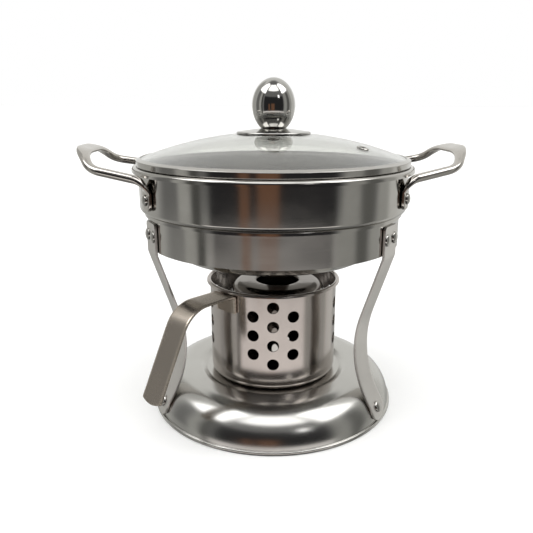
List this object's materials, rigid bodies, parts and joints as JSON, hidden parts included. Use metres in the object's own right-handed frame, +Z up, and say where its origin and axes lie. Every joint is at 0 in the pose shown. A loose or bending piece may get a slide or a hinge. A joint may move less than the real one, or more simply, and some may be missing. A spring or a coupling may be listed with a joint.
{
  "type": "spirit-burner hot pot",
  "caption": "Round stainless pan with loop handles and a domed glass lid on a three-legged stand, with a perforated burner shell and its fuel can below.",
  "frame": {"origin": "centre of the base, on the surface that it stands on", "axes": "+Z up, +X towards the right pan handle, -Y towards the viewer's side, where the burner goes in"},
  "size_m": [0.2552, 0.188, 0.2256],
  "materials": {
    "base_steel": "mirror polished stainless steel",
    "leg_steel": "satin stainless steel",
    "ring_steel": "polished stainless steel",
    "rivet_steel": "polished steel",
    "pan_steel": "polished stainless steel",
    "handle_steel": "polished stainless steel",
    "lid_glass": "clear tempered glass",
    "band_steel": "polished stainless steel",
    "vent_steel": "polished steel",
    "knob_steel": "polished stainless steel",
    "screw_steel": "plated steel",
    "silicone": "matt translucent grey",
    "shell_steel": "satin stainless steel",
    "grip_steel": "brushed stainless steel",
    "can_steel": "stainless steel",
    "wick_fibre": "absorbent fibre"
  },
  "bodies": {
    "stand": {"base_plate": "base_steel", "leg_front_left": "leg_steel", "leg_front_right": "leg_steel", "leg_rear": "leg_steel", "stand_ring": "ring_steel", "ring_rivets": "rivet_steel", "foot_rivets": "rivet_steel"},
    "pot": {"pot_body": "pan_steel", "pot_handle_left": "handle_steel", "pot_handle_right": "handle_steel", "pot_handle_rivets": "rivet_steel"},
    "lid": {"lid_glass": "lid_glass", "lid_rim_band": "band_steel", "vent_grommet": "vent_steel", "knob_disc": "knob_steel", "lid_knob": "knob_steel", "knob_gasket": "silicone", "knob_washer": "screw_steel", "knob_screw": "screw_steel"},
    "burner": {"burner_shell": "shell_steel", "burner_handle": "grip_steel"},
    "can": {"fuel_can": "can_steel", "fuel_can_cover": "can_steel", "wick_pad": "wick_fibre"}
  },
  "joints": [
    {"name": "pot_lift", "type": "slide", "parent": "stand", "child": "pot", "axis": [0, 0, 1], "range_m": [0, 0.08]},
    {"name": "lid_lift", "type": "slide", "parent": "pot", "child": "lid", "axis": [0, 0, 1], "range_m": [0, 0.05]},
    {"name": "burner_lift", "type": "slide", "parent": "stand", "child": "burner", "axis": [0, 0, 1], "range_m": [0, 0.012]},
    {"name": "fuel_can_lift", "type": "slide", "parent": "burner", "child": "can", "axis": [0, 0, 1], "range_m": [0, 0.004]}
  ]
}
